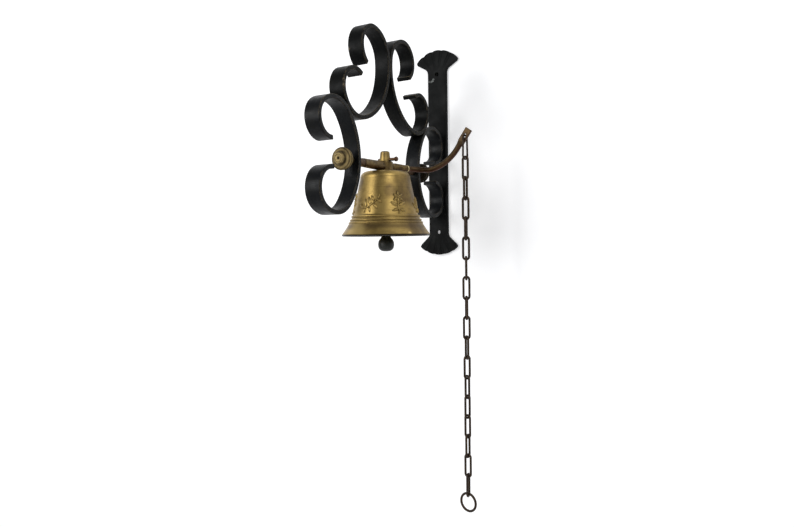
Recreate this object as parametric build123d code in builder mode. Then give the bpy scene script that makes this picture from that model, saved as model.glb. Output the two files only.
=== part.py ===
from build123d import *
import os
from math import asin, cos, degrees, radians, sin, sqrt, tan

# Pull-chain doorbell on a wrought scroll bracket.
# The origin is on the wall plate's back face, midway between its screw holes. +Y points into the
# wall, +Z is up and +X runs along the wall to the side where the pull chain hangs. All sizes are in
# millimetres and all angles in degrees.

# Wall plate, forged from flat bar. Each fan has the height of its rim above or below the origin, its
# width, the drop from its rim to its corners and the slope at which its sides flare.
plate_width = 30.0
plate_thickness = 5.0
top_fan = (150.6, 66.0, 15.0, 30.0)
low_fan = (148.9, 60.0, 11.6, 43.0)
fan_lip = 3.2
fan_flare_radius = 9.0
fan_lobes = 5
fan_lobe_rise = 0.6
flute_radius = 5.0
flute_depth = 1.1
flute_length = 26.0
screw_hole_spacing = 232.0
screw_hole_diameter = 6.0
plate_edge_break = 0.8

# Four C-scrolls of one pattern, bent by hand from a lighter flat bar, so their curls differ a little.
# Each scroll has the radii of its two curls and the angle that both turn through.
bar_width = 20.4
bar_thickness = 5.2
spine_radius = 78.7
spine_half_angle = 41.3
shoulder_radius = 37.6
shoulder_angle = 82.0
front_curls = (27.0, 24.5, 150.8)
rear_curls = (25.6, 25.6, 149.0)
top_front_curls = (27.1, 28.5, 146.2)
top_rear_curls = (26.6, 25.5, 147.2)
front_scroll_size = 1.034
scroll_edge_break = 0.6
scroll_drop = 31.1
top_scroll_tilt = 34.9
spine_gap = 142.0
weld_gap = 0.1

# Yoke that carries the bell and turns in the two lower spines
axle_below_scroll = 2.7
journal_diameter = 6.0
journal_play = 0.08
spacer_length = 17.7
spacer_diameter = 10.0
end_play = 0.3
yoke_end_diameter = 10.8
yoke_middle_diameter = 12.6
boss_diameter = 20.0
boss_height = 13.0
boss_round = 1.5
branch_angle = 17.8
branch_length = 37.2
branch_root_diameter = 12.4
branch_tip_diameter = 7.6
branch_ridges = 9
ridge_pitch = 2.2
ridge_height = 0.4
ferrule_diameter = 9.0
ferrule_length = 1.6
ferrule_round = 0.5
fit_play = 0.05

# Pull arm, a bent rod with a flattened end; each bend is given as (across, rise above the axle)
arm_diameter = 7.4
spigot_diameter = 4.6
spigot_length = 6.0
arm_bend_end = (30.0, -1.7)
arm_rise_start = (49.0, 0.4)
arm_rise_end = (78.4, 22.7)
arm_straight = 28.6
paddle_length = 24.0
paddle_draw = 6.0
paddle_width = 9.4
paddle_thickness = 4.0
paddle_corner = 0.9
arm_hole_diameter = 5.0
arm_hole_inset = 9.7

# Turned knob, one on each end of the yoke
knob_neck_diameter = 8.6
knob_neck_length = 15.0
knob_disc_diameter = 26.8
knob_disc_thickness = 3.2
knob_groove_width = 0.9
knob_groove_depth = 2.1
knob_cone_height = 2.1
knob_button_diameter = 14.4
knob_button_thickness = 3.6
knob_dish = 0.7
knob_centre_hole = 2.8
knob_bore_depth = 19.0

# Bell and its hanging stem
mouth_diameter = 113.2
bell_height = 82.2
crown_diameter = 47.0
shoulder_diameter = 64.0
shoulder_drop = 8.5
belly_diameter = 75.6
belly_drop = 36.6
waist_diameter = 83.2
waist_drop = 55.0
flare_diameter = 96.0
flare_drop = 67.4
lip_height = 2.0
lip_round = 1.7
bell_wall = 4.6
rib_places = (0.09, 0.26, 0.39)
rib_diameters = (3.0, 2.4, 2.2)
stem_root_diameter = 14.4
stem_top_diameter = 11.8
stem_above_boss = 12.8
stem_chamfer = 1.2
seat_play = 0.1

# Cross pin through the stem, lying on the boss
pin_diameter = 4.0
pin_head_diameter = 6.0
pin_head_length = 3.0
pin_left = 9.5
pin_right = 18.4

# Clapper and the staple that it hangs from
staple_wire = 4.0
staple_radius = 7.0
staple_drop = 12.0
staple_leg_depth = 3.0
clapper_wire = 3.6
clapper_eye_radius = 5.0
clapper_shank_diameter = 6.0
clapper_taper_height = 34.0
clapper_neck_diameter = 13.6
clapper_neck_height = 17.0
clapper_bulb_diameter = 20.6
clapper_bulb_height = 9.0
clapper_flat_diameter = 3.0
clapper_below_mouth = 19.6
hang_gap = 0.3

# Pull chain: a hanger through the arm's hole, equal links that twist slowly, and a ring
hanger_wire = 2.5
hanger_top_radius = 3.9
hanger_bottom_radius = 4.4
hanger_height = 30.2
hanger_turn = 75.0
hanger_seat = 1.2
link_count = 17
link_wire = 3.0
link_pitch = 25.6
link_radius = 3.8
first_link_turn = -10.0
link_turn_step = 96.5
ring_diameter = 26.0
ring_wire = 3.2
ring_turn = -12.0


def polar(radius, angle):
    """Return (across, up) for a radius and an angle in degrees."""
    return (radius * cos(radians(angle)), radius * sin(radians(angle)))


# One scroll in its own frame: the spine's convex middle at (0, 0), the curls opening towards +x
shoulder_start = 180 - spine_half_angle
curl_start = shoulder_start - shoulder_angle
shoulder_offset = polar(spine_radius - shoulder_radius, shoulder_start)
wider_curl = max(rear_curls[0], rear_curls[1])
curl_offset = polar(shoulder_radius - wider_curl, curl_start)
scroll_depth = spine_radius + shoulder_offset[0] + curl_offset[0] + wider_curl

# The rear scroll's curls meet the plate, and the bell hangs midway between the two lower spines
plate_front_y = -plate_thickness
rear_spine_y = plate_front_y - weld_gap - scroll_depth
front_spine_y = rear_spine_y - spine_gap
bell_y = (front_spine_y + rear_spine_y) / 2
scroll_z = -scroll_drop
axle_z = scroll_z - axle_below_scroll



def rest_height(across, size=1.0):
    """Return how far above a lower scroll's middle the centre of a top scroll's low shoulder stands.

    It stands across from the centre of the lower scroll's spine, and rests on that spine or, further
    round, on the lower scroll's high shoulder.
    """
    spine_reach = size * spine_radius + shoulder_radius + weld_gap
    if across > spine_reach * cos(radians(spine_half_angle)):
        return sqrt(spine_reach**2 - across**2)
    shoulder_reach = (size + 1) * shoulder_radius + weld_gap
    return size * shoulder_offset[1] + sqrt(shoulder_reach**2 - (across + size * shoulder_offset[0]) ** 2)


# The top scrolls lean on each other in the bell's plane, and the rear one rests on the rear scroll
top_centre_y = bell_y + weld_gap / 2 + spine_radius
low_shoulder = polar(spine_radius - shoulder_radius, 180 + top_scroll_tilt + spine_half_angle)
rear_across = rear_spine_y + spine_radius - top_centre_y - low_shoulder[0]
low_shoulder_z = scroll_z + rest_height(rear_across)
top_lean = polar(spine_radius, top_scroll_tilt)
top_rear_y = top_centre_y - top_lean[0]
top_front_y = 2 * bell_y - top_rear_y
top_spine_z = low_shoulder_z - low_shoulder[1] - top_lean[1]

# The front scroll is a little larger, and comes up under the front top scroll's low shoulder
front_across = rear_across + (front_scroll_size - 1) * spine_radius
front_scroll_z = low_shoulder_z - rest_height(front_across, front_scroll_size)

# The yoke turns about the axle line, with the bell's line upright through its boss
boss_top_z = axle_z + boss_height / 2
crown_z = axle_z - boss_height / 2 - seat_play
mouth_z = crown_z - bell_height
yoke_half_length = spine_gap / 2 - spacer_length - 2 * end_play
journal_half_length = spine_gap / 2 + bar_thickness + knob_bore_depth - end_play
yoke_centre = Vector(0, bell_y, axle_z)
axle_line = Axis(yoke_centre, (0, 1, 0))
bell_line = Axis((0, bell_y, 0), (0, 0, 1))
branch_line = Vector(sin(radians(branch_angle)), cos(radians(branch_angle)), 0)
branch_tip = yoke_centre + branch_line * branch_length
branch_end = Plane(origin=branch_tip, z_dir=branch_line)

os.makedirs("parts", exist_ok=True)

# Wall plate: each fan's rim is a run of small lobes, with a radial flute between each pair


def fan_circle(width, corner_drop):
    """Return the radius of a fan's rim and the angles at which its lobes meet."""
    radius = (width**2 / 4 + corner_drop**2) / (2 * corner_drop)
    half_angle = degrees(asin(width / 2 / radius))
    return radius, [90 - half_angle + n * 2 * half_angle / fan_lobes for n in range(fan_lobes + 1)]


with BuildPart() as wall_plate:
    with BuildSketch(Plane.XZ):
        for end, (rim, width, corner_drop, slope) in ((1, top_fan), (-1, low_fan)):
            radius, angles = fan_circle(width, corner_drop)
            corner = rim - corner_drop
            heel_across = (width - fan_lip) / 2
            flare_across = plate_width / 2 + fan_flare_radius * (1 - sin(radians(slope)))
            flare = corner - fan_lip - (heel_across - flare_across) * tan(radians(slope))
            neck = flare - fan_flare_radius * cos(radians(slope))
            with BuildLine():
                for low, high in zip(angles[:-1], angles[1:]):
                    crest = polar(radius + fan_lobe_rise, (low + high) / 2)
                    lobe = (polar(radius, low), crest, polar(radius, high))
                    ThreePointArc([(across, end * (rim - radius + up)) for across, up in lobe])
                for side in (1, -1):
                    bend_start = (side * plate_width / 2, end * neck)
                    bend = JernArc(bend_start, (0, end), fan_flare_radius, side * end * (slope - 90))
                    heel = (side * heel_across, end * (corner - fan_lip))
                    Polyline(bend @ 1, heel, (side * width / 2, end * corner))
                    Line((side * plate_width / 2, 0), bend_start)
                Line((-plate_width / 2, 0), (plate_width / 2, 0))
            make_face()
    extrude(amount=plate_thickness)
    front_face = wall_plate.faces().sort_by(Axis.Y)[0]
    chamfer(front_face.edges().filter_by(Axis.Z), plate_edge_break)
    with Locations(Plane.XZ.offset(plate_thickness)):
        with GridLocations(1, screw_hole_spacing, 1, 2):
            Hole(screw_hole_diameter / 2)
    for end, (rim, width, corner_drop, slope) in ((1, top_fan), (-1, low_fan)):
        radius, angles = fan_circle(width, corner_drop)
        for angle in angles[1:-1]:
            across, up = polar(1, angle)
            inner = radius - flute_length
            flute_start = (across * inner, plate_front_y - flute_radius, end * (rim - radius + up * inner))
            flute_run = (across, flute_depth / flute_length, end * up)
            with BuildSketch(Plane(origin=flute_start, z_dir=flute_run)):
                Circle(flute_radius)
            extrude(amount=flute_length * 1.2, mode=Mode.SUBTRACT)
wall_plate.part.label = "wall_plate"
export_step(wall_plate.part, "parts/wall_plate.step")


def bend_scroll(spine_y, spine_z, opening, curls, size=1.0, bored=False):
    """Bend one C-scroll from its spine's convex middle, with its curls opening at an angle."""
    across, up = polar(1, opening)
    frame = Plane(origin=(-bar_width / 2, spine_y, spine_z), x_dir=(0, across, up), z_dir=(1, 0, 0))
    spine_size = size * spine_radius
    bend_size = size * shoulder_radius
    with BuildPart() as scroll:
        with BuildSketch(frame):
            with BuildLine():
                for turn, curl_size in ((1, curls[0]), (-1, curls[1])):
                    tips = []
                    for inset in (0, bar_thickness):
                        spine = JernArc((inset, 0), (0, turn), spine_size - inset, -turn * spine_half_angle)
                        bend = JernArc(spine @ 1, spine % 1, bend_size - inset, -turn * shoulder_angle)
                        curl = JernArc(bend @ 1, bend % 1, curl_size - inset, -turn * curls[2])
                        tips.append(curl @ 1)
                    Line(tips[0], tips[1])
            make_face()
        extrude(amount=bar_width)
        chamfer(scroll.faces().filter_by(Axis.X).edges(), scroll_edge_break)
        if bored:
            with BuildSketch(Plane.XZ.offset(-spine_y)):
                with Locations((0, axle_z)):
                    Circle(journal_diameter / 2 + journal_play)
            extrude(amount=2 * bar_thickness, both=True, mode=Mode.SUBTRACT)
    return scroll.part


scrolls = {
    "scroll_front": bend_scroll(
        front_spine_y, front_scroll_z, 180, front_curls, front_scroll_size, bored=True
    ),
    "scroll_rear": bend_scroll(rear_spine_y, scroll_z, 0, rear_curls, bored=True),
    "scroll_top_front": bend_scroll(top_front_y, top_spine_z, 180 - top_scroll_tilt, top_front_curls),
    "scroll_top_rear": bend_scroll(top_rear_y, top_spine_z, top_scroll_tilt, top_rear_curls),
}
for name, part in scrolls.items():
    part.label = name
    export_step(part, f"parts/{name}.step")

# Yoke: a round boss, tapered arms out to both journals, and a ridged branch for the pull arm
ridges_start = branch_length - 1.5 - branch_ridges * ridge_pitch
branch_taper = (branch_root_diameter - branch_tip_diameter) / 2 / branch_length


def branch_radius(reach):
    """Return the branch's plain radius at a distance from the boss's middle."""
    return branch_root_diameter / 2 - branch_taper * reach


with BuildPart() as yoke:
    with BuildSketch(Plane.XY.offset(axle_z - boss_height / 2)):
        with Locations((0, bell_y)):
            Circle(boss_diameter / 2)
    extrude(amount=boss_height)
    fillet(yoke.edges().filter_by(GeomType.CIRCLE), boss_round)
    with BuildSketch(Plane(origin=yoke_centre, x_dir=(1, 0, 0), z_dir=(0, 0, 1))):
        with BuildLine():
            Polyline(
                (0, -journal_half_length),
                (journal_diameter / 2, -journal_half_length),
                (journal_diameter / 2, -yoke_half_length),
                (yoke_end_diameter / 2, -yoke_half_length),
                (yoke_middle_diameter / 2, 0),
                (yoke_end_diameter / 2, yoke_half_length),
                (journal_diameter / 2, yoke_half_length),
                (journal_diameter / 2, journal_half_length),
                (0, journal_half_length),
                close=True,
            )
        make_face()
    revolve(axis=axle_line)
    with BuildSketch(Plane(origin=yoke_centre, x_dir=branch_line.rotate(Axis.Z, -90), z_dir=(0, 0, 1))):
        with BuildLine():
            ridge_foot = (branch_radius(ridges_start), ridges_start)
            Polyline((0, branch_length), (0, 0), (branch_radius(0), 0), ridge_foot)
            for n in range(branch_ridges):
                middle = ridges_start + (n + 0.5) * ridge_pitch
                high = ridges_start + (n + 1) * ridge_pitch
                crest = (branch_radius(middle) + ridge_height, middle)
                next_foot = (branch_radius(high), high)
                ThreePointArc(ridge_foot, crest, next_foot)
                ridge_foot = next_foot
            Polyline(ridge_foot, (branch_radius(branch_length), branch_length), (0, branch_length))
        make_face()
    revolve(axis=Axis(yoke_centre, branch_line))
    with BuildSketch(Plane.XY.offset(boss_top_z)):
        with Locations((0, bell_y)):
            Circle(stem_root_diameter / 2 + seat_play)
    extrude(amount=-boss_height, mode=Mode.SUBTRACT)
    with BuildSketch(branch_end):
        Circle(spigot_diameter / 2 + fit_play)
    extrude(amount=-spigot_length - fit_play, mode=Mode.SUBTRACT)
yoke.part.label = "yoke"
export_step(yoke.part, "parts/yoke.step")

# Bright ferrule where the arm meets the branch
with BuildPart() as arm_ferrule:
    with BuildSketch(branch_end):
        Circle(ferrule_diameter / 2)
        Circle(spigot_diameter / 2 + fit_play, mode=Mode.SUBTRACT)
    extrude(amount=ferrule_length)
    fillet(arm_ferrule.edges().filter_by(GeomType.CIRCLE).group_by(SortBy.RADIUS)[-1], ferrule_round)
arm_ferrule.part.label = "arm_ferrule"
export_step(arm_ferrule.part, "parts/arm_ferrule.step")

# Pull arm: swept through its bends, then drawn out into the flat end that takes the chain. The first
# bend ends where it runs straight along the wall, so the rest of the arm lies in one upright plane.
arm_start = branch_tip + branch_line * ferrule_length
bend_across = arm_bend_end[0] - arm_start.X
bend_reach = sqrt(bend_across**2 + (branch_line.Y * arm_bend_end[1]) ** 2)
arm_y = arm_start.Y + (bend_reach - branch_line.X * bend_across) / branch_line.Y
bend_end, rise_start, rise_end = [
    Vector(across, arm_y, axle_z + rise) for across, rise in (arm_bend_end, arm_rise_start, arm_rise_end)
]
with BuildPart() as lever_arm:
    with BuildLine() as arm_path:
        first_bend = TangentArc(arm_start, bend_end, tangent=branch_line)
        second_bend = TangentArc(bend_end, rise_start, tangent=first_bend % 1)
        third_bend = TangentArc(rise_start, rise_end, tangent=second_bend % 1)
        rise = third_bend % 1
        Line(rise_end, rise_end + rise * (arm_straight - paddle_length))
    with BuildSketch(Plane(origin=arm_start, z_dir=branch_line)):
        Circle(arm_diameter / 2)
    sweep(path=arm_path.line)
    with BuildSketch(Plane(origin=arm_start, z_dir=branch_line)):
        Circle(spigot_diameter / 2)
    extrude(amount=-ferrule_length - spigot_length)
    draw_start = Plane(origin=rise_end + rise * (arm_straight - paddle_length), x_dir=(0, 1, 0), z_dir=rise)
    draw_end = draw_start.offset(paddle_draw)
    with BuildSketch(draw_start):
        Circle(arm_diameter / 2)
    with BuildSketch(draw_end):
        RectangleRounded(paddle_thickness, paddle_width, paddle_corner)
    loft()
    with BuildSketch(draw_end):
        RectangleRounded(paddle_thickness, paddle_width, paddle_corner)
    extrude(amount=paddle_length - paddle_draw)
    arm_hole = rise_end + rise * (arm_straight - arm_hole_inset)
    with BuildSketch(Plane.XZ.offset(-arm_y)):
        with Locations((arm_hole.X, arm_hole.Z)):
            Circle(arm_hole_diameter / 2)
    extrude(amount=paddle_thickness, both=True, mode=Mode.SUBTRACT)
lever_arm.part.label = "lever_arm"
export_step(lever_arm.part, "parts/lever_arm.step")


def cut_spacer(start_y):
    """Cut a sleeve for a journal, to fill the gap between a spine and the yoke's shoulder."""
    with BuildPart() as spacer:
        with BuildSketch(Plane.XZ.offset(-start_y)):
            with Locations((0, axle_z)):
                Circle(spacer_diameter / 2)
                Circle(journal_diameter / 2 + journal_play, mode=Mode.SUBTRACT)
        extrude(amount=-spacer_length)
    return spacer.part


def turn_knob(spine_y, spine_z, outwards):
    """Turn a knob for the journal that comes through a spine's hollow side, out along -Y or +Y."""
    neck = knob_neck_diameter / 2
    spine_hollow = (abs(spine_z - axle_z) + neck) ** 2 / 2 / (spine_radius - bar_thickness)
    disc = knob_disc_diameter / 2
    rear_disc = disc - knob_groove_depth / 3
    groove = disc - knob_groove_depth
    button = knob_button_diameter / 2
    disc_end = knob_neck_length + knob_disc_thickness
    groove_end = disc_end + knob_groove_width
    cone_start = groove_end + knob_disc_thickness
    cone_end = cone_start + knob_cone_height
    length = cone_end + knob_button_thickness
    seat_y = spine_y + outwards * (bar_thickness + spine_hollow)
    seat = Plane(origin=(0, seat_y, axle_z), x_dir=(1, 0, 0), z_dir=(0, 0, outwards))
    with BuildPart() as knob:
        with BuildSketch(seat):
            with BuildLine():
                root = (neck, knob_neck_length - 1.5)
                Polyline((0, length - knob_dish), (0, end_play), (neck, end_play), root)
                TangentArc(root, (neck + 1.5, knob_neck_length), tangent=(0, 1))
                Line((neck + 1.5, knob_neck_length), (rear_disc - 1, knob_neck_length))
                rims = ((rear_disc, knob_neck_length, disc_end), (disc, groove_end, cone_start))
                for edge, low, high in rims:
                    ThreePointArc((edge - 1, low), (edge, (low + high) / 2), (edge - 1, high))
                Line((rear_disc - 1, disc_end), (groove, disc_end))
                Polyline((groove, disc_end), (groove, groove_end), (disc - 1, groove_end))
                Polyline((disc - 1, cone_start), (button + 1.3, cone_end - 0.6), (button - 0.6, cone_end))
                button_crest = (button, (cone_end + length) / 2)
                ThreePointArc((button - 0.6, cone_end), button_crest, (button - 2.4, length))
                TangentArc((0, length - knob_dish), (button - 2.4, length), tangent=(1, 0))
            make_face()
        revolve(axis=axle_line)
        with BuildSketch(seat.rotated((-90, 0, 0))):
            Circle(journal_diameter / 2 + fit_play)
        extrude(amount=knob_bore_depth + end_play, mode=Mode.SUBTRACT)
        with BuildSketch(seat.rotated((-90, 0, 0)).offset(length - 3 * knob_dish)):
            Circle(knob_centre_hole / 2)
        extrude(amount=length, mode=Mode.SUBTRACT)
    return knob.part


axle_pieces = {
    "front_spacer": cut_spacer(front_spine_y + end_play),
    "rear_spacer": cut_spacer(rear_spine_y - end_play - spacer_length),
    "front_knob": turn_knob(front_spine_y, front_scroll_z, -1),
    "rear_knob": turn_knob(rear_spine_y, scroll_z, 1),
}
for name, part in axle_pieces.items():
    part.label = name
    export_step(part, f"parts/{name}.step")

# Bell: one revolve for the wall, the ribs on its flare and the stem that passes up through the boss
stem_top_z = boss_top_z + stem_above_boss
pin_z = boss_top_z + pin_diameter / 2 + seat_play
staple_z = crown_z - bell_wall - staple_drop
upright = Plane.XZ.offset(-bell_y)

with BuildPart() as bell:
    with BuildSketch(upright):
        with BuildLine():
            flares = []
            for inset in (0, bell_wall):
                crown = (crown_diameter / 2 - inset, crown_z - inset)
                shoulder = (shoulder_diameter / 2 - inset, crown_z - shoulder_drop)
                waist = (waist_diameter / 2 - inset, crown_z - waist_drop)
                belly = (belly_diameter / 2 - inset, crown_z - belly_drop)
                flare = (flare_diameter / 2 - inset, crown_z - flare_drop)
                lip = (mouth_diameter / 2 - inset, mouth_z + lip_height)
                TangentArc(crown, shoulder, tangent=(1, 0))
                Spline(shoulder, belly, waist)
                flares.append(ThreePointArc(waist, flare, lip))
                Line(lip, (lip[0], mouth_z))
            Line((mouth_diameter / 2, mouth_z), (mouth_diameter / 2 - bell_wall, mouth_z))
            Polyline(
                (crown_diameter / 2 - bell_wall, crown_z - bell_wall),
                (0, crown_z - bell_wall),
                (0, stem_top_z),
                (stem_top_diameter / 2 - stem_chamfer, stem_top_z),
                (stem_top_diameter / 2, stem_top_z - stem_chamfer),
                (stem_root_diameter / 2, boss_top_z),
                (stem_root_diameter / 2, crown_z),
                (crown_diameter / 2, crown_z),
            )
        make_face()
    revolve(axis=bell_line)
    mouth_edges = bell.edges().filter_by_position(Axis.Z, mouth_z, mouth_z)
    fillet(mouth_edges.sort_by(SortBy.RADIUS)[-1], lip_round)
    with BuildSketch(upright):
        for place, diameter in zip(rib_places, rib_diameters):
            with Locations(flares[0] @ place):
                Circle(diameter / 2)
    revolve(axis=bell_line)
    with BuildSketch(Plane.YZ):
        with Locations((bell_y, pin_z)):
            Circle(pin_diameter / 2 + fit_play)
    extrude(amount=stem_root_diameter, both=True, mode=Mode.SUBTRACT)
    with BuildSketch(Plane.XY.offset(crown_z - bell_wall)):
        with Locations((0, bell_y - staple_radius), (0, bell_y + staple_radius)):
            Circle(staple_wire / 2 + fit_play)
    extrude(amount=staple_leg_depth + fit_play, mode=Mode.SUBTRACT)
bell.part.label = "bell"
export_step(bell.part, "parts/bell.step")

with BuildPart() as cross_pin:
    with BuildSketch(Plane.YZ.offset(-pin_left)):
        with Locations((bell_y, pin_z)):
            Circle(pin_diameter / 2)
    extrude(amount=pin_left + pin_right - pin_head_length)
    with BuildSketch(Plane.YZ.offset(pin_right - pin_head_length)):
        with Locations((bell_y, pin_z)):
            Circle(pin_head_diameter / 2)
    extrude(amount=pin_head_length)
    fillet(cross_pin.edges().filter_by(GeomType.CIRCLE).sort_by(Axis.X)[-1], pin_head_length * 0.4)
cross_pin.part.label = "cross_pin"
export_step(cross_pin.part, "parts/cross_pin.step")

# Staple: a U of wire whose legs are let into the crown, one in front of the bell's line and one behind
leg_top_z = crown_z - bell_wall + staple_leg_depth
with BuildPart() as clapper_staple:
    with BuildLine(Plane.YZ) as staple_path:
        Line((bell_y - staple_radius, leg_top_z), (bell_y - staple_radius, staple_z + staple_radius))
        ThreePointArc(
            (bell_y - staple_radius, staple_z + staple_radius),
            (bell_y, staple_z),
            (bell_y + staple_radius, staple_z + staple_radius),
        )
        Line((bell_y + staple_radius, staple_z + staple_radius), (bell_y + staple_radius, leg_top_z))
    with BuildSketch(Plane(origin=staple_path.line @ 0, z_dir=staple_path.line % 0)):
        Circle(staple_wire / 2)
    sweep(path=staple_path.line)
clapper_staple.part.label = "clapper_staple"
export_step(clapper_staple.part, "parts/clapper_staple.step")

# Clapper: an eye round the staple, a plain shank, and a flared neck over a round bulb
eye_z = staple_z - (clapper_eye_radius - clapper_wire / 2 - staple_wire / 2 - hang_gap)
eye_bottom_z = eye_z - clapper_eye_radius
clapper_bottom_z = mouth_z - clapper_below_mouth
shank = clapper_shank_diameter / 2
neck_z = clapper_bottom_z + clapper_neck_height
with BuildPart() as clapper:
    with BuildSketch(Plane.YZ):
        with Locations((bell_y, eye_bottom_z)):
            Circle(clapper_wire / 2)
    revolve(axis=Axis((0, bell_y, eye_z), (0, 1, 0)))
    with BuildSketch(upright):
        with BuildLine():
            Polyline((0, clapper_bottom_z), (0, eye_bottom_z), (shank, eye_bottom_z))
            Line((shank, eye_bottom_z), (shank, clapper_bottom_z + clapper_taper_height))
            Spline(
                (shank, clapper_bottom_z + clapper_taper_height),
                (clapper_neck_diameter / 2, neck_z),
                tangents=((0, -1), (1, -2)),
            )
            bulb_side = (clapper_bulb_diameter / 2, clapper_bottom_z + clapper_bulb_height)
            Spline((clapper_neck_diameter / 2, neck_z), bulb_side, tangents=((1, -1), (0, -1)))
            Spline(bulb_side, (clapper_flat_diameter / 2, clapper_bottom_z), tangents=((0, -1), (-1, 0)))
            Line((clapper_flat_diameter / 2, clapper_bottom_z), (0, clapper_bottom_z))
        make_face()
    revolve(axis=bell_line)
clapper.part.label = "clapper"
export_step(clapper.part, "parts/clapper.step")


def bend_link(top_z, turn, wire, top_radius, bottom_radius, height):
    """Bend one chain link of round wire, hanging in the chain's line with its face turned in plan."""
    across = (cos(radians(turn)), sin(radians(turn)), 0)
    face = Plane(origin=(arm_hole.X, arm_y, top_z), x_dir=across, z_dir=(across[1], -across[0], 0))
    lean = degrees(asin((bottom_radius - top_radius) / (height - top_radius - bottom_radius)))
    top_across, top_up = polar(top_radius, lean)
    low_across, low_up = polar(bottom_radius, lean)
    top_side = top_up - top_radius
    low_side = low_up + bottom_radius - height
    with BuildPart() as link:
        with BuildLine(face) as loop:
            ThreePointArc((top_across, top_side), (0, 0), (-top_across, top_side))
            Line((-top_across, top_side), (-low_across, low_side))
            ThreePointArc((-low_across, low_side), (0, -height), (low_across, low_side))
            Line((low_across, low_side), (top_across, top_side))
        with BuildSketch(Plane(origin=loop.line @ 0, z_dir=loop.line % 0)):
            Circle(wire / 2)
        sweep(path=loop.line)
    return link.part


# Chain: each piece hangs a little clear of the one above it, so that all of them can swing
hanger_top_z = arm_hole.Z - arm_hole_diameter / 2 + hanger_seat + hang_gap + hanger_wire / 2
link_height = link_pitch + link_wire + hang_gap
first_link_z = hanger_top_z - hanger_height + (hanger_wire + link_wire) / 2 + hang_gap
chain = {
    "chain_hanger": bend_link(
        hanger_top_z, hanger_turn, hanger_wire, hanger_top_radius, hanger_bottom_radius, hanger_height
    )
}
for n in range(link_count):
    link_z = first_link_z - n * link_pitch
    link_turn = first_link_turn + n * link_turn_step
    chain[f"chain_link_{n + 1:02d}"] = bend_link(
        link_z, link_turn, link_wire, link_radius, link_radius, link_height
    )
for name, part in chain.items():
    part.label = name
    export_step(part, f"parts/{name}.step")

# Pull ring
ring_radius = (ring_diameter - ring_wire) / 2
last_link_bottom_z = first_link_z - (link_count - 1) * link_pitch - link_height
ring_top_z = last_link_bottom_z + link_wire / 2 + hang_gap + ring_wire / 2
ring_across = Vector(cos(radians(ring_turn)), sin(radians(ring_turn)), 0)
ring_centre = Vector(arm_hole.X, arm_y, ring_top_z - ring_radius)
with BuildPart() as pull_ring:
    with BuildSketch(Plane(origin=ring_centre + ring_across * ring_radius, z_dir=(0, 0, 1))):
        Circle(ring_wire / 2)
    revolve(axis=Axis(ring_centre, ring_across.cross(Vector(0, 0, 1))))
pull_ring.part.label = "pull_ring"
export_step(pull_ring.part, "parts/pull_ring.step")
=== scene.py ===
import logging
import math
from dataclasses import dataclass, field
from enum import Enum
from typing import ClassVar, Optional, Sequence, Union

import bmesh
import bpy
from mathutils import Matrix, Vector
from mathutils.bvhtree import BVHTree


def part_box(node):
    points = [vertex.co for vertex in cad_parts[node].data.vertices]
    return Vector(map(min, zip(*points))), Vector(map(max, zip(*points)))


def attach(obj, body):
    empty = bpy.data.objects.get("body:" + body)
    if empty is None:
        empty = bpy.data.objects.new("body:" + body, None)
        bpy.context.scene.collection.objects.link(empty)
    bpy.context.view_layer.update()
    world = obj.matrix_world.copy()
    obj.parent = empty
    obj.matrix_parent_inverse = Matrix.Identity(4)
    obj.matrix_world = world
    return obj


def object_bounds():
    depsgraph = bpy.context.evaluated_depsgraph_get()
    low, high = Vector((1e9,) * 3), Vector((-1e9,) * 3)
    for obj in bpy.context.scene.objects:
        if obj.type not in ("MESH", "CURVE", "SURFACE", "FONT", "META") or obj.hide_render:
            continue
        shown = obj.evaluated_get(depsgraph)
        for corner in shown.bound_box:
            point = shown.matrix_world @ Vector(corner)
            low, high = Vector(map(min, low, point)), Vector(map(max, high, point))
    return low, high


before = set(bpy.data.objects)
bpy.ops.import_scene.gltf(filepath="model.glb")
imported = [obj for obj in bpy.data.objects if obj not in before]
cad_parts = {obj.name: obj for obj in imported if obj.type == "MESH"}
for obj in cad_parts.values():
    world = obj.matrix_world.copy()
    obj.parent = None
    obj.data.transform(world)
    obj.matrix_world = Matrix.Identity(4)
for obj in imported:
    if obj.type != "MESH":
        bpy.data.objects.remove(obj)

CAD_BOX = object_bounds()
LOG = logging.getLogger("doorbell")

Colour = tuple[float, float, float]
Place = tuple[float, float, float]
Flat = tuple[float, float]
Span = tuple[float, float]
Grid = list[list[tuple[float, float, float]]]
Socket = bpy.types.NodeSocket
Value = Union[float, Sequence[float], Socket]

WHITE: Colour = (1.0, 1.0, 1.0)
BLACK: Colour = (0.0, 0.0, 0.0)
SCREEN_WHITE = 255
CURVE_FOOT = 0.04045
CURVE_FOOT_SLOPE = 12.92
CURVE_SHIFT = 0.055
CURVE_POWER = 2.4


def linear(part: int) -> float:
    """Take the screen's curve off one channel of a colour.

    Args:
        part: The channel as seen on screen, 0 to 255.

    Returns:
        Its linear value, 0 to 1.
    """
    share = part / SCREEN_WHITE
    if share <= CURVE_FOOT:
        return share / CURVE_FOOT_SLOPE
    return ((share + CURVE_SHIFT) / (1 + CURVE_SHIFT)) ** CURVE_POWER


def shade(red: int, green: int, blue: int) -> Colour:
    """Return the linear colour that shaders use for a screen colour of 0 to 255."""
    return (linear(red), linear(green), linear(blue))


class Axis(Enum):
    """A direction of the frame, by its place in a vector."""

    X = 0
    Y = 1
    Z = 2


class Sum(Enum):
    """A sum that a node does on one or two values."""

    ADD = "ADD"
    SUBTRACT = "SUBTRACT"
    MULTIPLY = "MULTIPLY"
    POWER = "POWER"
    ROOT = "SQRT"
    SIZE = "ABSOLUTE"
    LARGER = "MAXIMUM"


@dataclass(frozen=True)
class Spot:
    """A round patch on a surface: its middle, how far it reaches, and how strongly it shows."""

    place: Place
    reach: float
    share: float = 1.0


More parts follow.
